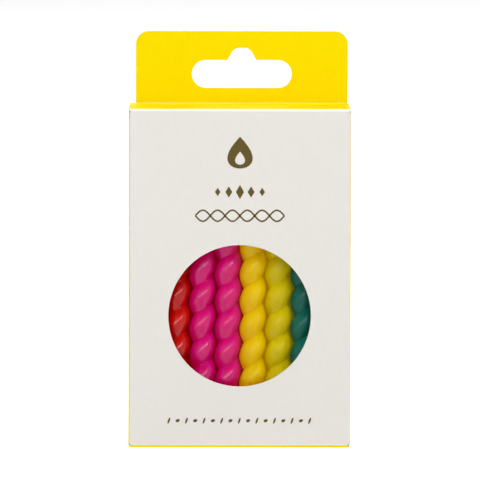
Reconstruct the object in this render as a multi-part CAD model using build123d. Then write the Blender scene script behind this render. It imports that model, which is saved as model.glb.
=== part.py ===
from build123d import *
import os
from math import cos, radians, sin, sqrt, tan

# A hanging retail carton with a round window, packed with two rows of twisted party candles.
# Millimetres. Origin at the middle of the carton's base, +X right, the windowed front faces -Y, +Z up.

# Candle wax: one rod wound right-handed into a close corkscrew
candles_per_row = 8
rod_radius = 3.4  # of the rod's level section
twist_offset = 0.7  # middle of the rod from the candle's axis
twist_pitch = 8.4  # height of one full turn
twist_start = 133.0  # degrees, where the rod bulges at the base of the wax
wax_length = 91.0
tip_length = 6.0  # stretch at the top that rounds off
tip_radius = 1.9  # reach of the rod at the very top

# Braided wick through the wax
wick_radius = 0.6
wick_fit = 0.02  # radial clearance in the wax
wick_exposed = 8.5
wick_rounding = 0.25

# Room around the candles
candle_gap = 0.96  # between neighbours of one row, whose twists run side by side
row_gap = 0.46  # between the two rows
side_room = 2.28
front_row_shift = 0.25  # the loose rows lie a little to the right
back_row_shift = 1.5
front_room = 1.8
back_room = 2.1
floor_gap = 0.1  # under the wax
headroom = 2.6  # over the wicks

# Folding boxboard
board = 0.45
crease_radius = 0.15  # inside radius of the upright creases
crease_gap = 0.05  # between a panel's edge and the rounded crease beside it
leaf_gap = 0.1  # between a lid and the dust flaps under it
seam_gap = 0.15  # free edge of the inner back panel to the left side
window_radius = 21.83
window_height = 40.66  # centre of the window above the base

# Hang tab with its display slot
tab_height = 22.2
tab_inset = 1.33  # tab's edges in from the carton's sides, before its shift
tab_shift = 0.75  # tab's middle to the right of the carton's
tab_corner = 4.0
slot_length = 30.8
slot_width = 8.6
slot_rise = 4.7  # lower edge of the slot above the lid
peg_width = 8.9  # base of the raised middle of the slot
peg_height = 3.75
peg_flank = 60.0  # degrees, slope of the raised middle's sides
peg_rounding = 2.7

# Tuck closures, alike at the top and the bottom
lid_inset = 0.3  # lid's edge in from the carton's side
tongue_length = 9.0
tongue_inset = 1.5  # tongue's edge in from the side panel
tongue_corner = 4.0
tuck_gap = 0.3  # tongue to the inner back
fold_relief = 0.6  # lid's inner edge cut back so that the tongue can fold under it
flap_length = 16.0
flap_hinge_taper = 28.0  # degrees, slope of the dust flap's edge beside the lid's crease
flap_hinge_room = 1.2  # that edge from the lid's crease
flap_tuck_taper = 8.0  # degrees, slope of the dust flap's edge beside the tongue
flap_tuck_room = 2.0  # that edge from the tongue
flap_corner = 1.5

# Sizes that follow from the ones above
half_board = board / 2
corner_radius = board + crease_radius
candle_reach = twist_offset + rod_radius
candle_pitch = 2 * rod_radius + candle_gap
closure_depth = 2 * board + leaf_gap
row_width = (candles_per_row - 1) * candle_pitch + 2 * candle_reach
width = row_width + 2 * (side_room + board)
depth = front_room + 4 * candle_reach + row_gap + back_room + 3 * board
wax_base = closure_depth + floor_gap
wax_top = wax_base + wax_length
height = wax_top + wick_exposed + headroom + closure_depth
front_row_y = -depth / 2 + board + front_room + candle_reach
back_row_y = front_row_y + 2 * candle_reach + row_gap
flat_half_width = width / 2 - corner_radius  # half of a wall between its upright creases
lid_crease_y = -depth / 2 + half_board
tongue_y = depth / 2 - 2 * board - tuck_gap - half_board


def rod_section(level, reach):
    """Round face across the wax at a level above its base, off the candle's axis and turned with the twist."""
    scale = reach / candle_reach
    turn = radians(twist_start + 360 * level / twist_pitch)
    offset = scale * twist_offset
    return Pos(offset * cos(turn), offset * sin(turn), level) * Circle(scale * rod_radius)


def candle_wax():
    """Twisted wax rod on its own axis, flat at the base and rounded at the top, bored for the wick."""
    body_length = wax_length - tip_length
    body_steps = max(2, round(12 * body_length / twist_pitch))
    tip_steps = 6
    sections = [rod_section(body_length * i / body_steps, candle_reach) for i in range(body_steps + 1)]
    for i in range(1, tip_steps + 1):
        share = i / tip_steps
        reach = sqrt(candle_reach**2 - (candle_reach**2 - tip_radius**2) * share**2)
        sections.append(rod_section(body_length + tip_length * share, reach))
    bore = Cylinder(wick_radius + wick_fit, wax_length, align=(Align.CENTER, Align.CENTER, Align.MIN))
    return loft(sections) - bore


def candle_wick():
    """Wick through the whole wax, standing clear of its top with a rounded end."""
    wick = Cylinder(
        wick_radius, wax_length + wick_exposed, align=(Align.CENTER, Align.CENTER, Align.MIN)
    )
    return fillet(wick.edges().sort_by(Axis.Z)[-1], wick_rounding)


def wall(x_from, x_to, outer_y, inner_y, z_from, z_to):
    """Flat upright board panel between two faces."""
    return Pos((x_from + x_to) / 2, (outer_y + inner_y) / 2, (z_from + z_to) / 2) * Box(
        x_to - x_from, abs(inner_y - outer_y), z_to - z_from
    )


def front_panel():
    """Front wall with the round window, between the creases of the two lids."""
    low = board + crease_gap
    panel = wall(-flat_half_width, flat_half_width, -depth / 2, -depth / 2 + board, low, height - low)
    window = Pos(0, -depth / 2, window_height) * Rot(X=90) * Cylinder(window_radius, 4 * board)
    return panel - window


def side_panel(side, rear_y):
    """Side wall with both of its upright creases; rear_y is the outer face of the wall it folds into."""
    run = rear_y + depth / 2
    tube = RectangleRounded(width, run, corner_radius)
    tube -= RectangleRounded(width - 2 * board, run - 2 * board, crease_radius)
    keep = Pos(side * (width / 2 - corner_radius / 2)) * Rectangle(corner_radius, run)
    low = closure_depth + crease_gap
    return Pos(0, (rear_y - depth / 2) / 2, low) * extrude(tube & keep, height - 2 * low)


def inner_back_panel():
    """Back wall behind the candles, glued to the outer back; both tongues tuck in front of it."""
    return wall(
        -width / 2 + board + seam_gap,
        flat_half_width,
        depth / 2 - board,
        depth / 2 - 2 * board,
        0,
        height,
    )


def hang_tab_panel():
    """Outer back wall that runs up into the hang tab with its display slot."""
    panel = wall(-flat_half_width, flat_half_width, depth / 2, depth / 2 - board, 0, height)
    tab_width = width - 2 * tab_inset
    tab = Pos(tab_shift, tab_height / 2) * Rectangle(tab_width, tab_height)
    tab = fillet(tab.vertices().group_by(Axis.Y)[-1], tab_corner)
    slot_center = slot_rise + slot_width / 2
    slot = Pos(tab_shift, slot_center) * SlotOverall(slot_length, slot_width)
    # The raised middle of the slot starts inside it, so its flanks run on below the slot's upper edge.
    sunk = slot_width / 2
    base = peg_width + 2 * sunk / tan(radians(peg_flank))
    peg = Trapezoid(base, peg_height + sunk, peg_flank)
    peg = fillet(peg.vertices().group_by(Axis.Y)[-1], peg_rounding)
    peg = Pos(tab_shift, slot_center + (peg_height + sunk) / 2) * peg
    plane = Plane(origin=(0, depth / 2, height), x_dir=(1, 0, 0), z_dir=(0, -1, 0))
    return panel + extrude(plane * (tab - slot - peg), board)


def leaf(crease, run, axis, length, breadth, relief=0):
    """Board leaf from a rounded crease: length along run, breadth along the crease's axis.

    The relief is cut off the far end, on the side that axis x run points to.
    """
    inner_end, outer_end = (length - relief, half_board), (length, -half_board)
    edge = Polyline((0, half_board), inner_end, outer_end, (0, -half_board))
    edge += ThreePointArc((0, -half_board), (-half_board, 0), (0, half_board))
    plane = Plane(origin=crease, x_dir=run, z_dir=axis)
    return extrude(plane * make_face(edge), breadth / 2, both=True)


def dust_flap(side, level):
    """Short flap off a side panel, under the lid; both of its edges slope in towards its end."""
    at_hinge = lid_crease_y + flap_hinge_room
    at_tuck = tongue_y - half_board - flap_tuck_room
    crease_x = side * (width / 2 - half_board)
    end_x = crease_x - side * flap_length
    end_at_hinge = at_hinge + flap_length * tan(radians(flap_hinge_taper))
    end_at_tuck = at_tuck - flap_length * tan(radians(flap_tuck_taper))
    outer_x = crease_x + side * half_board
    strip = leaf(
        (crease_x, (at_hinge + at_tuck) / 2, level),
        (-side, 0, 0),
        (0, 1, 0),
        flap_length,
        at_tuck - at_hinge,
    )
    hinge_edge = ((outer_x, at_hinge), (crease_x, at_hinge), (end_x, end_at_hinge))
    tuck_edge = ((end_x, end_at_tuck), (crease_x, at_tuck), (outer_x, at_tuck))
    outline = make_face(Polyline(*hinge_edge, *tuck_edge, close=True))
    tips = [v for v in outline.vertices() if abs(v.X - end_x) < half_board]
    outline = Pos(Z=level - board) * fillet(tips, flap_corner)
    return strip & extrude(outline, 2 * board)


def tuck_closure(end, outer_z, outward):
    """Lid, tuck tongue and two dust flaps that shut one end of the carton."""
    level = outer_z - outward * half_board
    lid_length = tongue_y - lid_crease_y - half_board - crease_gap
    lid_width = width - 2 * lid_inset
    lid = leaf((0, lid_crease_y, level), (0, 1, 0), (-outward, 0, 0), lid_length, lid_width, fold_relief)
    tongue_width = width - 2 * (board + tongue_inset)
    tongue = leaf((0, tongue_y, level), (0, 0, -outward), (1, 0, 0), tongue_length, tongue_width)
    upright = tongue.edges().filter_by(Axis.Y)
    free_end = upright.group_by(Axis.Z)[0 if outward > 0 else -1]
    flap_level = outer_z - outward * (closure_depth - half_board)
    return {
        f"{end}_lid": lid,
        f"{end}_tuck_tongue": fillet(free_end, tongue_corner),
        f"{end}_left_dust_flap": dust_flap(-1, flap_level),
        f"{end}_right_dust_flap": dust_flap(1, flap_level),
    }


pieces = {
    "front_panel": front_panel(),
    "left_side_panel": side_panel(-1, depth / 2),
    "right_side_panel": side_panel(1, depth / 2 - board),
    "inner_back_panel": inner_back_panel(),
    "hang_tab_back_panel": hang_tab_panel(),
}
# Both lids crease off the front and tuck in front of the inner back.
pieces |= tuck_closure("top", height, 1)
pieces |= tuck_closure("bottom", 0, -1)

wax = candle_wax()
wick = candle_wick()
rows = (("front", front_row_shift, front_row_y), ("back", back_row_shift, back_row_y))
for row, shift, row_y in rows:
    for number in range(1, candles_per_row + 1):
        place = Pos(shift + (number - (candles_per_row + 1) / 2) * candle_pitch, row_y, wax_base)
        pieces[f"{row}_candle_{number}"] = place * wax
        pieces[f"{row}_wick_{number}"] = place * wick

os.makedirs("parts", exist_ok=True)
for name, solid in pieces.items():
    export_step(solid, f"parts/{name}.step")
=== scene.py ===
from math import cos, hypot, pi, radians, sin, sqrt

import bpy
from mathutils import Matrix, Vector


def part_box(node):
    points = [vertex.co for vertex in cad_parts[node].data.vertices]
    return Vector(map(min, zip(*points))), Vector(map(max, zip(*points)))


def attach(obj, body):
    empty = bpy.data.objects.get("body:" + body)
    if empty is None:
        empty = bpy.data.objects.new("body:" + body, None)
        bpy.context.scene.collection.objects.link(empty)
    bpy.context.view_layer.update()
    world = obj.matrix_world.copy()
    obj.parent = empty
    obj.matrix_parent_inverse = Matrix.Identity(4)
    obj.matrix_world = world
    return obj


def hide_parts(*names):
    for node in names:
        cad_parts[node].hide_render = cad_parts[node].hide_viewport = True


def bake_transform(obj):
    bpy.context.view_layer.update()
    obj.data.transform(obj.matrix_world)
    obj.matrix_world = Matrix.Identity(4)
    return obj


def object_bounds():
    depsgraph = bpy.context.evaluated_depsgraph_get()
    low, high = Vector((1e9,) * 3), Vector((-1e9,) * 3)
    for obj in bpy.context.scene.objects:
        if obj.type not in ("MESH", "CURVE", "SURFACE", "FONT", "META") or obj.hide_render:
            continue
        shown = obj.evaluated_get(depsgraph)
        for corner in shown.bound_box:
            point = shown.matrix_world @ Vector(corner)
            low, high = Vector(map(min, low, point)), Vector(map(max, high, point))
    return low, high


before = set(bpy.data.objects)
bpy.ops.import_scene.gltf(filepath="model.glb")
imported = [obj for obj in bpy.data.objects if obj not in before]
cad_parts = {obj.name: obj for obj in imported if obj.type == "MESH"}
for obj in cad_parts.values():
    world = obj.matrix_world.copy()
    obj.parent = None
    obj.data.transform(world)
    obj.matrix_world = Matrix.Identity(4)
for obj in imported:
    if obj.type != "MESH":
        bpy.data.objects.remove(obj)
cad_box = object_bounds()

# Carton walls: one sheet of folding boxboard, coated and printed outside, plain inside, white in its core.
# The front is printed off-white, the sides and the back yellow; the window and the tab's slot are die-cut,
# and the two back panels are glued to each other.
mm = 0.001
front_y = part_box("front_panel")[0].y
paper_white = (233, 230, 224)
sunny_yellow = (250, 224, 2)
plain_inside = (226, 222, 212)
board_core = (240, 237, 230)
left_wrap = front_y + 0.04 * mm  # how far back the front's print runs round the creases beside it
right_wrap = front_y + 0.17 * mm
no_wrap = -1.0  # a metre in front of the carton, so it runs nowhere
face_limit = 0.05  # share by which a face has to point out or in, or else it is a cut edge
crease_limit = 0.985  # a printed face that points out by less lies on a rounded crease
speck_limit = 0.6  # grain above which a speck of ink is rubbed off a crease
crease_rub = 0.12
print_roughness = 0.45
bare_roughness = 0.85
varnish_cover = 0.03


def ink(rgb):
    """Linear colour of an 8-bit display colour."""
    linear = []
    for value in rgb:
        share = value / 255
        linear.append(share / 12.92 if share <= 0.04045 else ((share + 0.055) / 1.055) ** 2.4)
    return (*linear, 1.0)


def place(tree, kind, inputs=None, **settings):
    """Adds a shader node; an input takes a value or another node's output."""
    node = tree.nodes.new("ShaderNode" + kind)
    for name, value in settings.items():
        setattr(node, name, value)
    for socket, value in (inputs or {}).items():
        if isinstance(value, bpy.types.NodeSocket):
            tree.links.new(value, node.inputs[socket])
        else:
            node.inputs[socket].default_value = value
    return node


def compute(tree, operation, *values, **settings):
    """Output of a math node."""
    return place(tree, "Math", dict(enumerate(values)), operation=operation, **settings).outputs[0]


def mix_colours(tree, share, first, second):
    """Colour that goes from the first to the second as the share goes from none to one."""
    return place(tree, "Mix", {0: share, 6: first, 7: second}, data_type="RGBA").outputs[2]


def shade_colour(tree, colour, factor):
    """Colour made lighter or darker by a factor."""
    return place(tree, "VectorMath", {0: colour, "Scale": factor}, operation="SCALE").outputs[0]


def new_group(name, inputs, outputs):
    """Empty shader group with named sockets; returns it with its two end nodes."""
    group = bpy.data.node_groups.new(name, "ShaderNodeTree")
    for direction, sockets in (("INPUT", inputs), ("OUTPUT", outputs)):
        for socket, kind in sockets.items():
            group.interface.new_socket(socket, in_out=direction, socket_type="NodeSocket" + kind)
    return group, group.nodes.new("NodeGroupInput"), group.nodes.new("NodeGroupOutput")


def grain_group():
    """Fine speckle about a mean of one, in metres, used to vary a colour, a gloss or a height."""
    group, given, put = new_group(
        "fine_grain",
        {"Size": "Float", "Depth": "Float", "Stretch": "Vector"},
        {"Factor": "Float", "Raw": "Float"},
    )
    spot = {0: place(group, "TexCoord").outputs["Object"], 1: given.outputs["Stretch"]}
    stretched = place(group, "VectorMath", spot, operation="MULTIPLY").outputs[0]
    scale = compute(group, "DIVIDE", 1.0, given.outputs["Size"])
    speckle = {"Vector": stretched, "Scale": scale, "Detail": 3.0, "Roughness": 0.6}
    raw = place(group, "TexNoise", speckle).outputs["Fac"]
    centred = compute(group, "SUBTRACT", raw, 0.5)
    factor = compute(group, "MULTIPLY_ADD", centred, given.outputs["Depth"], 1.0)
    group.links.new(factor, put.inputs["Factor"])
    group.links.new(raw, put.inputs["Raw"])
    return group


fine_grain = grain_group()


def grain(tree, size, depth, stretch=(1, 1, 1)):
    """Outputs of the fine grain, placed in a tree with its own values."""
    values = {"Size": size, "Depth": depth, "Stretch": stretch}
    return place(tree, "Group", values, node_tree=fine_grain).outputs


def boxboard_group():
    """Print outside, plain fibre inside, bare core on cut edges, and ink rubbed off in specks on creases."""
    group, given, put = new_group(
        "boxboard",
        {
            "Outward": "Vector",
            "Print": "Color",
            "Front Print": "Color",
            "Wrap": "Float",
            "Reverse": "Color",
            "Core": "Color",
            "Rub": "Float",
        },
        {"Color": "Color", "Roughness": "Float", "Varnish": "Float", "Height": "Float"},
    )
    given = given.outputs
    coords = place(group, "TexCoord").outputs
    compared = {0: coords["Normal"], 1: given["Outward"]}
    facing = place(group, "VectorMath", compared, operation="DOT_PRODUCT").outputs["Value"]
    printed = compute(group, "GREATER_THAN", facing, face_limit)
    reverse = compute(group, "LESS_THAN", facing, -face_limit)
    # The front's print runs round the creases beside it, as far back as the wrap.
    depth = place(group, "SeparateXYZ", {0: coords["Object"]}).outputs["Y"]
    wrapped = compute(group, "LESS_THAN", depth, given["Wrap"])
    sheet = mix_colours(group, wrapped, given["Print"], given["Front Print"])
    # On a rounded crease the face no longer points straight out, and the ink is rubbed through in specks.
    bend = compute(group, "LESS_THAN", facing, crease_limit)
    specks = grain(group, size=0.5 * mm, depth=1.0)["Raw"]
    worn = compute(group, "GREATER_THAN", specks, speck_limit)
    rub = compute(group, "MULTIPLY", compute(group, "MULTIPLY", bend, worn), given["Rub"])
    inked = mix_colours(group, rub, sheet, given["Core"])
    outer = mix_colours(group, printed, given["Core"], inked)
    both = mix_colours(group, reverse, outer, given["Reverse"])
    fibre = grain(group, size=0.9 * mm, depth=0.05, stretch=(1, 1, 0.35))
    cloud = grain(group, size=22 * mm, depth=0.03)
    vary = compute(group, "MULTIPLY", fibre["Factor"], cloud["Factor"])
    finish = {"Value": printed, "To Min": bare_roughness, "To Max": print_roughness}
    roughness = place(group, "MapRange", finish).outputs[0]
    results = {
        "Color": shade_colour(group, both, vary),
        "Roughness": compute(group, "MULTIPLY", roughness, fibre["Factor"]),
        "Varnish": compute(group, "MULTIPLY", printed, varnish_cover),
        "Height": fibre["Raw"],
    }
    for socket, source in results.items():
        group.links.new(source, put.inputs[socket])
    return group


boxboard = boxboard_group()


def new_material(name):
    """Material with an empty tree, its Principled shader and its output."""
    material = bpy.data.materials.new(name)
    material.use_nodes = True
    tree = material.node_tree
    tree.nodes.clear()
    shader = place(tree, "BsdfPrincipled")
    place(tree, "OutputMaterial", {"Surface": shader.outputs[0]})
    return material, tree, shader


def board_material(name, outward, print_rgb, reverse_rgb=plain_inside, wrap=no_wrap):
    """Printed boxboard whose printed face points along outward; the front's print reaches back to wrap."""
    material, tree, shader = new_material(name)
    values = {
        "Outward": outward,
        "Print": ink(print_rgb),
        "Front Print": ink(paper_white),
        "Wrap": wrap,
        "Reverse": ink(reverse_rgb),
        "Core": ink(board_core),
        "Rub": crease_rub,
    }
    sheet = place(tree, "Group", values, node_tree=boxboard).outputs
    relief = {"Strength": 0.12, "Distance": 0.02 * mm, "Height": sheet["Height"]}
    tree.links.new(sheet["Color"], shader.inputs["Base Color"])
    tree.links.new(sheet["Roughness"], shader.inputs["Roughness"])
    tree.links.new(sheet["Varnish"], shader.inputs["Coat Weight"])
    tree.links.new(place(tree, "Bump", relief).outputs[0], shader.inputs["Normal"])
    shader.inputs["Coat Roughness"].default_value = 0.3
    shader.inputs["Specular IOR Level"].default_value = 0.02
    return material


def dress(node, material):
    """Gives a carried-over piece its finish."""
    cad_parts[node].data.materials.clear()
    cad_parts[node].data.materials.append(material)


dress("front_panel", board_material("front_board", (0, -1, 0), paper_white))
dress("left_side_panel", board_material("left_side_board", (-1, 0, 0), sunny_yellow, wrap=left_wrap))
dress("right_side_panel", board_material("right_side_board", (1, 0, 0), sunny_yellow, wrap=right_wrap))
dress("inner_back_panel", board_material("inner_back_board", (0, 1, 0), plain_inside))
dress("hang_tab_back_panel", board_material("hang_tab_board", (0, 1, 0), sunny_yellow, sunny_yellow))

# Closures: the lid, its tuck tongue and two dust flaps at each end are leaves of the same yellow sheet,
# printed on the side that faces out when the carton is shut, and joined to it by rounded creases.
for end, outward in (("top", 1), ("bottom", -1)):
    cover = board_material(f"{end}_cover_board", (0, 0, outward), sunny_yellow)
    dress(f"{end}_lid", cover)
    dress(f"{end}_left_dust_flap", cover)
    dress(f"{end}_right_dust_flap", cover)
    dress(f"{end}_tuck_tongue", board_material(f"{end}_tongue_board", (0, -outward, 0), sunny_yellow))

# Lid creases: the sheet's outer face runs on from the front over the fold to each lid, and bends with it.
# At the top the fold is near-white, partly bare board where the print cracks and partly a painted
# highlight along the bend; at the bottom it is yellow.
crease_white_and_highlight = (250, 249, 246)
liner = 0.01 * mm  # thickness of the sheet's outer face
front_reach = 0.7 * mm  # from the lid's outer face along the front
lid_reach = 0.12 * mm  # from the end of the bend along the lid
lid_low, lid_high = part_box("top_lid")
lid_board = lid_high.z - lid_low.z
bend_radius = lid_board / 2 + liner


def add_piece(name, points, faces, material, smooth=True):
    """Adds a mesh to the scene in one finish."""
    mesh = bpy.data.meshes.new(name)
    mesh.from_pydata(points, [], faces)
    mesh.polygons.foreach_set("use_smooth", [smooth] * len(mesh.polygons))
    mesh.materials.append(material)
    piece = bpy.data.objects.new(name, mesh)
    bpy.context.scene.collection.objects.link(piece)
    return piece


def crease_liner(end, rgb, face_z, inward):
    """Thin skin over the fold between the front and a lid; inward is the way into the carton along Z."""
    bend_y = front_y + lid_board / 2
    bend_z = face_z + inward * lid_board / 2
    profile = [(front_y - liner, face_z + inward * front_reach)]
    bend_steps = 8
    for i in range(bend_steps + 1):
        turn = pi / 2 * i / bend_steps
        profile.append((bend_y - bend_radius * cos(turn), bend_z - inward * bend_radius * sin(turn)))
    profile.append((bend_y + lid_reach, face_z - inward * liner))
    columns = 24
    points = []
    for i in range(columns + 1):
        x = lid_low.x + (lid_high.x - lid_low.x) * i / columns
        points += [(x, y, z) for y, z in profile]
    rows = len(profile)
    faces = []
    for i in range(columns):
        for k in range(rows - 1):
            a = i * rows + k
            faces.append((a, a + rows, a + rows + 1, a + 1))
    skin = board_material(f"{end}_crease_board", (0, -1, -inward), rgb)
    piece = add_piece(f"{end}_crease_liner", points, faces, skin)
    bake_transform(piece)


# The top fold's near-white is partly a painted highlight.
crease_liner("top", crease_white_and_highlight, lid_high.z, -1)
crease_liner("bottom", sunny_yellow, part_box("bottom_lid")[0].z, 1)

# Front print: bronze ink ornaments, a flame with a smaller one left bare in it, a row of lozenges, a rope
# twist and a beaded line. Each is a film of ink on the face of the front panel.
bronze = (100, 84, 42)
ink_film = 0.015 * mm
ink_roughness = 0.42


def ink_material():
    """Bronze printing ink, a little uneven in cover."""
    material, tree, shader = new_material("bronze_ink")
    cover = grain(tree, size=0.35 * mm, depth=0.25)["Factor"]
    tree.links.new(shade_colour(tree, ink(bronze)[:3], cover), shader.inputs["Base Color"])
    tree.links.new(compute(tree, "MULTIPLY", cover, ink_roughness), shader.inputs["Roughness"])
    shader.inputs["Specular IOR Level"].default_value = 0.06
    return material


bronze_ink = ink_material()


def print_ornament(name, outlines):
    """Ink film on the front from closed outlines of (x, z) points, anticlockwise seen from the front."""
    points, faces = [], []
    for outline in outlines:
        start, count = len(points), len(outline)
        points += [(x, front_y - ink_film, z) for x, z in outline]
        points += [(x, front_y, z) for x, z in outline]
        faces.append(range(start, start + count))
        faces.append(range(start + 2 * count - 1, start + count - 1, -1))
        for i in range(count):
            j = (i + 1) % count
            faces.append((start + i, start + count + i, start + count + j, start + j))
    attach(add_piece(name, points, faces, bronze_ink, smooth=False), "carton")


# The flame is printed as strips between its outline and the bare flame's, which has as many points.
flame_base = 86.0 * mm
flame_half_width = 4.1 * mm
flame_height = 9.8 * mm
bare_base = 87.2 * mm
bare_half_width = 1.6 * mm
bare_height = 4.0 * mm
belly_taper = 0.55  # draws the top of the flame in to a point
belly_swell = 1.25  # makes up for the width that the taper takes


def flame(base_z, half_width, height, steps=48):
    """Closed flame: a round belly that draws in to a point."""
    outline = []
    for i in range(steps):
        turn = 2 * pi * i / steps
        rise = (1 - cos(turn)) / 2
        x = half_width * sin(turn) * (1 - rise) ** belly_taper * belly_swell
        outline.append((x, base_z + height * rise))
    return outline


outer_flame = flame(flame_base, flame_half_width, flame_height)
bare_flame = flame(bare_base, bare_half_width, bare_height)
flame_strips = []
for i in range(len(outer_flame)):
    j = (i + 1) % len(outer_flame)
    flame_strips.append([outer_flame[i], outer_flame[j], bare_flame[j], bare_flame[i]])
print_ornament("printed_mark", flame_strips)

lozenge_level = 78.8 * mm
lozenge_gap = 3.4 * mm
lozenge_half_width = 1.25 * mm  # of the middle one
lozenge_half_height = 2.2 * mm
lozenge_narrowing = 0.2 * mm  # from one to the next
lozenge_shortening = 0.45 * mm


def lozenge(center_x, half_width, half_height):
    """Closed diamond in the row."""
    left, right = center_x - half_width, center_x + half_width
    low, high = lozenge_level - half_height, lozenge_level + half_height
    return [(left, lozenge_level), (center_x, low), (right, lozenge_level), (center_x, high)]


lozenges = []
for i in range(-2, 3):
    half_width = lozenge_half_width - lozenge_narrowing * abs(i)
    half_height = lozenge_half_height - lozenge_shortening * abs(i)
    lozenges.append(lozenge(i * lozenge_gap, half_width, half_height))
print_ornament("printed_lozenges", lozenges)

rope_level = 71.5 * mm
rope_half_length = 13.6 * mm
rope_swing = 1.7 * mm
rope_waves = 3
rope_line = 0.5 * mm


def rope_strand(phase, steps=96):
    """Closed wavy band of even thickness along the rope."""
    upper, lower = [], []
    for i in range(steps + 1):
        share = i / steps
        turn = 2 * pi * rope_waves * share + phase
        x = rope_half_length * (2 * share - 1)
        z = rope_level + rope_swing * sin(turn)
        slope = rope_swing * cos(turn) * pi * rope_waves / rope_half_length
        across = rope_line / 2 / hypot(1, slope)
        upper.append((x - slope * across, z + across))
        lower.append((x + slope * across, z - across))
    return lower + upper[::-1]


print_ornament("printed_twist", [rope_strand(0), rope_strand(pi)])

bead_level = 8.3 * mm
bead_count = 17
bead_gap = 2.7 * mm
bead_halves = ((0.32 * mm, 0.95 * mm), (0.62 * mm, 0.5 * mm))  # half width and height of a stroke and a bead
bead_lean = 0.3  # to the right, as a share of the height


def bead(center_x, half_width, half_height, steps=28):
    """Closed leaning oval in the line."""
    outline = []
    for i in range(steps):
        turn = 2 * pi * i / steps
        rise = half_height * sin(turn)
        outline.append((center_x + half_width * cos(turn) + bead_lean * rise, bead_level + rise))
    return outline


beads = []
for i in range(bead_count):
    center_x = (i - (bead_count - 1) / 2) * bead_gap
    beads.append(bead(center_x, *bead_halves[i % 2]))
print_ornament("printed_beads", beads)

# Wicks: three waxed cotton yarns braided into a cord, cast into the wax and left standing out of its tip.
# The part inside the wax is a plain core that the yarns go into.
wick_low, wick_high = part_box("front_wick_1")
wax_low, wax_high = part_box("front_candle_1")
cotton = (240, 234, 218)
yarn_count = 3
yarn_radius = 0.3 * mm
yarn_offset = (wick_high.x - wick_low.x) / 2 - yarn_radius  # from the wick's axis
yarn_turn = 2.6 * mm  # height of one turn of the braid
yarn_root = 2 * mm  # start of the braid under the top of the wax
yarn_step = 0.25 * mm  # each yarn is cut this much lower than the last
yarn_tip = 0.35  # share of the radius left at the cut
yarn_taper = 0.5 * mm  # length in which a yarn would thicken by its radius
wick_lean = 0.3 * mm  # most that a free end stands over
lean_change = 2.4  # radians of the lean's wave from one wick to the next
candles_per_row = 8


def tube_faces(first, rings, sides):
    """Faces of a closed tube, ring after ring of points, the first of them numbered first."""
    faces = []
    for ring in range(rings - 1):
        for k in range(sides):
            a = first + ring * sides + k
            b = first + ring * sides + (k + 1) % sides
            faces.append((a, b, b + sides, a + sides))
    last = first + (rings - 1) * sides
    faces.append(range(first + sides - 1, first - 1, -1))
    faces.append(range(last, last + sides))
    return faces


def add_tube(points, faces, centres, radii, sides=10):
    """Adds a closed round tube through the centres to a mesh's points and faces."""
    faces += tube_faces(len(points), len(centres), sides)
    for (x, y, z), radius in zip(centres, radii):
        for k in range(sides):
            turn = 2 * pi * k / sides
            points.append((x + radius * cos(turn), y + radius * sin(turn), z))


def wick_material():
    """Off-white cotton, waxed, with fine fibres along the yarns."""
    material, tree, shader = new_material("waxed_cotton")
    fibre = grain(tree, size=0.16 * mm, depth=0.5, stretch=(1, 1, 0.25))
    relief = {"Strength": 0.6, "Distance": 0.05 * mm, "Height": fibre["Raw"]}
    tree.links.new(shade_colour(tree, ink(cotton)[:3], fibre["Factor"]), shader.inputs["Base Color"])
    tree.links.new(place(tree, "Bump", relief).outputs[0], shader.inputs["Normal"])
    shader.inputs["Roughness"].default_value = 0.7
    return material


waxed_cotton = wick_material()


def braided_wick(row, node, lean):
    """Braided cord in the place of a wick node; lean is how far its free end stands over, in metres."""
    low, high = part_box(node)
    x, y = (low.x + high.x) / 2, (low.y + high.y) / 2
    points, faces = [], []
    steps = 64
    start = wax_high.z - yarn_root
    for yarn in range(yarn_count):
        centres, radii = [], []
        end = high.z - yarn_step * yarn
        for i in range(steps + 1):
            z = start + (end - start) * i / steps
            turn = 2 * pi * (z / yarn_turn + yarn / yarn_count)
            free = max(0.0, (z - wax_high.z) / (high.z - wax_high.z))
            over = lean * free**2
            centres.append((x + over + yarn_offset * cos(turn), y + yarn_offset * sin(turn), z))
            radii.append(yarn_radius * min(1.0, yarn_tip + (end - z) / yarn_taper))
        add_tube(points, faces, centres, radii)
    add_tube(points, faces, [(x, y, low.z), (x, y, start)], [yarn_radius, yarn_radius])
    piece = add_piece(node + "_braid", points, faces, waxed_cotton)
    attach(piece, row + "_candle_row")
    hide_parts(node)


for row in ("front", "back"):
    for number in range(1, candles_per_row + 1):
        lean = wick_lean * sin(lean_change * number + len(row))
        braided_wick(row, f"{row}_wick_{number}", lean)

# Candles: dyed paraffin wax, a rod twisted right-handed so that one round strand winds up it over a soft
# groove. The tip draws in to the wick, where a little wax climbs the cord; the base is cut flat.
strand_reach = 4.15 * mm  # crest of the strand from the candle's axis
strand_fall = 1.4 * mm  # from the crest to the foot of the groove
groove_crease = 0.8  # share of the fall that runs on to a crease at the foot of the groove
twist_pitch = 8.4 * mm
twist_start = radians(133)  # where the strand bulges at the base
base_rounding = 0.3 * mm
tip_length = 6 * mm
tip_radius = 1.9 * mm
wax_climb = 1.1 * mm  # rise of the wax round the wick
climb_rings = ((0.36, 0.16), (0.25, 0.42), (0.19, 0.75), (0.155, 1.0))  # shares of the reach and climb
groove_crowding = 0.4  # draws the sides of a section together in the groove
wax_roughness = 0.17
light_depth = 14 * mm  # how far light wanders in the wax
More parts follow.
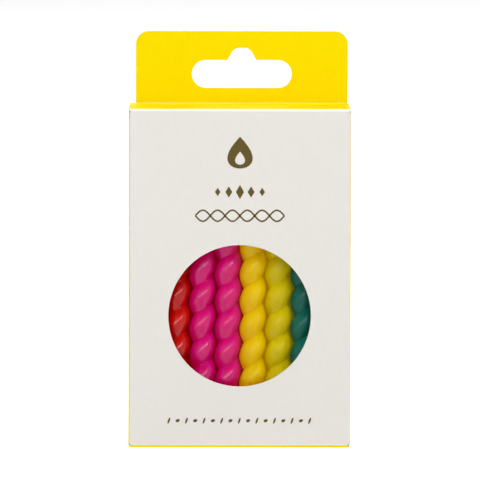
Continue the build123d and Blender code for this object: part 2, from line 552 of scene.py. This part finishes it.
# Of each dye: its colour, how deep red, green and blue light sink in, its shine, and a painted glow
# that stands in for light passed on between candles.
wax_dyes = {
    "red": ((190, 8, 3), (1.0, 0.15, 0.08), 0.3, (64, 0, 0)),
    "magenta": ((206, 4, 116), (1.0, 0.12, 0.4), 0.28, (66, 0, 10)),
    "golden": ((208, 176, 1), (1.0, 0.7, 0.1), 0.15, (108, 80, 0)),
    "lime": ((188, 168, 1), (0.9, 0.85, 0.1), 0.14, (92, 82, 0)),
    "teal": ((6, 94, 80), (0.2, 0.6, 0.5), 0.16, (6, 32, 26)),
}
row_colours = ["red", "red", "magenta", "magenta", "golden", "lime", "teal", "teal"]


def wax_material(colour, rgb, sink, shine, painted_glow_rgb):
    """Dyed paraffin: light sinks in and comes back, the skin is smooth with a faint bloom."""
    material, tree, shader = new_material(colour + "_paraffin")
    cloud = grain(tree, size=5 * mm, depth=0.3, stretch=(1, 1, 0.5))
    skin = grain(tree, size=0.8 * mm, depth=0.5)
    relief = {"Strength": 0.1, "Distance": 0.03 * mm, "Height": skin["Raw"]}
    tree.links.new(shade_colour(tree, ink(rgb)[:3], cloud["Factor"]), shader.inputs["Base Color"])
    tree.links.new(compute(tree, "MULTIPLY", skin["Factor"], wax_roughness), shader.inputs["Roughness"])
    tree.links.new(place(tree, "Bump", relief).outputs[0], shader.inputs["Normal"])
    shader.inputs["Specular IOR Level"].default_value = shine
    shader.inputs["Subsurface Weight"].default_value = 1.0
    shader.inputs["Subsurface Radius"].default_value = sink
    shader.inputs["Subsurface Scale"].default_value = light_depth
    # Painted glow: stands for the light that neighbouring candles pass on to each other in their depth.
    shader.inputs["Emission Color"].default_value = ink(painted_glow_rgb)
    shader.inputs["Emission Strength"].default_value = 1.0
    return material


def wax_radius(turn):
    """Distance from the candle's axis to the wax, at a turn from the crest of the strand."""
    turn = min(turn, 2 * pi - turn)
    creased = (turn / pi) ** 2
    hollow = (1 - cos(turn)) / 2
    return strand_reach - strand_fall * (groove_crease * creased + (1 - groove_crease) * hollow)


def wax_rings():
    """Levels above the base with the share of the full section there, from the cut base to the wax's top."""
    body = wax_high.z - wax_low.z - tip_length
    rings = []
    for turn in (0, 0.5, 1.0, pi / 2):
        level = base_rounding * (1 - cos(turn))
        rings.append((level, 1 - base_rounding / strand_reach * (1 - sin(turn))))
    body_steps, tip_steps = 180, 14
    for i in range(1, body_steps + 1):
        rings.append((base_rounding + (body - base_rounding) * i / body_steps, 1.0))
    for i in range(1, tip_steps + 1):
        share = i / tip_steps
        reach = sqrt(strand_reach**2 - (strand_reach**2 - tip_radius**2) * share**2)
        rings.append((body + tip_length * share, reach / strand_reach))
    return rings


def twisted_wax(row, node, finish):
    """Twisted wax rod in the place of a candle node."""
    low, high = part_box(node)
    x, y = (low.x + high.x) / 2, (low.y + high.y) / 2
    sides = 48
    section = []
    for k in range(sides):
        turn = 2 * pi * k / sides + groove_crowding * sin(2 * pi * k / sides)
        section.append((turn, wax_radius(turn)))
    rings = [(low.z + level, share, 0.0) for level, share in wax_rings()]
    # Over the tip the wax closes in round the wick and creeps up it.
    rings += [(high.z + wax_climb * rise, share, 1 - share) for share, rise in climb_rings]
    points = []
    for z, share, rounded in rings:
        spin = twist_start + 2 * pi * (min(z, high.z) - low.z) / twist_pitch
        for turn, radius in section:
            out = share * (radius * (1 - rounded) + strand_reach * rounded)
            points.append((x + out * cos(spin + turn), y + out * sin(spin + turn), z))
    piece = add_piece(node + "_wax", points, tube_faces(0, len(rings), sides), finish)
    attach(piece, row + "_candle_row")
    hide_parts(node)


wax_finishes = {colour: wax_material(colour, *dye) for colour, dye in wax_dyes.items()}
for row in ("front", "back"):
    for number, colour in enumerate(row_colours, 1):
        twisted_wax(row, f"{row}_candle_{number}", wax_finishes[colour])

# Studio: a pale matt floor that runs out of sight, a bright surround and three soft lamps. The strip only
# shows in gloss, as a streak on the wax; the other two only light the carton, and no gloss mirrors them.
white = (1, 1, 1, 1)
floor_half = 8.0
floor_drop = 0.02 * mm  # under the carton's base
floor_grey = (0.85, 0.85, 0.85, 1)
floor_lift = 0.55  # brightens the seen floor to white where nothing shades it
ambient_light = 0.42
ceiling_edge = 0.5  # upward share of a ray's direction at which the dark ceiling starts
ceiling_full = 0.62  # and at which it is as dark as it gets
ceiling_light = 0.05


def seen_mask(tree):
    """One for rays that look at a surface directly, in a mirror or through glass."""
    path = place(tree, "LightPath").outputs
    seen = compute(tree, "ADD", path["Is Camera Ray"], path["Is Glossy Ray"])
    return compute(tree, "ADD", seen, path["Is Transmission Ray"], use_clamp=True)


def floor_material():
    """Pale matt sweep that looks white where nothing shades it."""
    material = bpy.data.materials.new("pale_sweep")
    material.use_nodes = True
    tree = material.node_tree
    tree.nodes.clear()
    matt = place(tree, "BsdfDiffuse", {"Color": floor_grey}).outputs[0]
    bright = place(tree, "Emission", {"Color": white, "Strength": floor_lift}).outputs[0]
    lifted = place(tree, "AddShader", {0: matt, 1: bright}).outputs[0]
    sweep = place(tree, "MixShader", {0: seen_mask(tree), 1: matt, 2: lifted}).outputs[0]
    place(tree, "OutputMaterial", {"Surface": sweep})
    return material


floor_corners = []
for x, y in ((-1, -1), (1, -1), (1, 1), (-1, 1)):
    floor_corners.append((x * floor_half, y * floor_half, -floor_drop))
floor = add_piece("floor", floor_corners, [(0, 1, 2, 3)], floor_material(), smooth=False)

surround = bpy.data.worlds.new("surround")
surround.use_nodes = True
sky = surround.node_tree
sky.nodes.clear()
ambient = place(sky, "Background", {"Color": white, "Strength": ambient_light}).outputs[0]
# Mirrored in the wax, the white surround ends overhead, where the studio's ceiling is dark.
look = place(sky, "TexCoord").outputs["Generated"]
ceiling = {
    "Value": place(sky, "SeparateXYZ", {0: look}).outputs["Z"],
    "From Min": ceiling_edge,
    "From Max": ceiling_full,
    "To Min": 1.0,
    "To Max": ceiling_light,
}
mirrored = place(sky, "MapRange", ceiling).outputs[0]
level = compute(sky, "MAXIMUM", mirrored, place(sky, "LightPath").outputs["Is Camera Ray"])
backdrop = place(sky, "Background", {"Color": white, "Strength": level}).outputs[0]
seen_sky = place(sky, "MixShader", {0: seen_mask(sky), 1: ambient, 2: backdrop}).outputs[0]
place(sky, "OutputWorld", {"Surface": seen_sky})
bpy.context.scene.world = surround


def aim(thing, target, roll=0.0):
    """Turns a lamp or camera to look at a point."""
    turned = (target - thing.location).to_track_quat("-Z", "Y").to_matrix().to_4x4()
    thing.matrix_world = Matrix.Translation(thing.location) @ turned @ Matrix.Rotation(roll, 4, "Z")


def soft_lamp(name, location, width, height, power, roll=0.0):
    """Rectangular soft lamp aimed at the middle of the carton."""
    data = bpy.data.lights.new(name, "AREA")
    data.shape = "RECTANGLE"
    data.size = width
    data.size_y = height
    data.energy = power
    lamp = bpy.data.objects.new(name, data)
    bpy.context.scene.collection.objects.link(lamp)
    lamp.location = location
    aim(lamp, (cad_box[0] + cad_box[1]) / 2, roll)
    return lamp


strip_tilt = radians(22)
strip = soft_lamp("strip_softbox", (-0.12, -1.17, 0.31), width=2.8, height=0.14, power=13.0, roll=strip_tilt)
strip.visible_diffuse = False
overhead = soft_lamp("overhead_softbox", (0.1, -0.72, 1.26), width=0.8, height=0.8, power=13.8)
overhead.visible_glossy = False
rear = soft_lamp("rear_softbox", (-0.2, 1.1, 1.0), width=0.9, height=0.9, power=6.0)
rear.visible_glossy = False

# Camera: a long lens two metres from the front, nearly level with the carton and looking slightly down on
# its lid, turned and rolled by less than a degree as in the photograph.
camera_distance = 2.0
camera_rise = radians(6.2)
camera_swing = radians(0.73)
camera_roll = radians(0.17)
sensor = 36.0
field_at_front = 146.8 * mm
target = Vector((0.06 * mm, front_y, 64.05 * mm))
camera_data = bpy.data.cameras.new("camera")
camera_data.sensor_width = sensor
camera_data.lens = sensor * camera_distance / field_at_front
camera_data.clip_end = 50
camera = bpy.data.objects.new("camera", camera_data)
bpy.context.scene.collection.objects.link(camera)
level_share = cos(camera_rise)
away = (-sin(camera_swing) * level_share, -cos(camera_swing) * level_share, sin(camera_rise))
camera.location = target + camera_distance * Vector(away)
aim(camera, target, camera_roll)
bpy.context.scene.camera = camera
bpy.context.scene.view_settings.view_transform = "Standard"
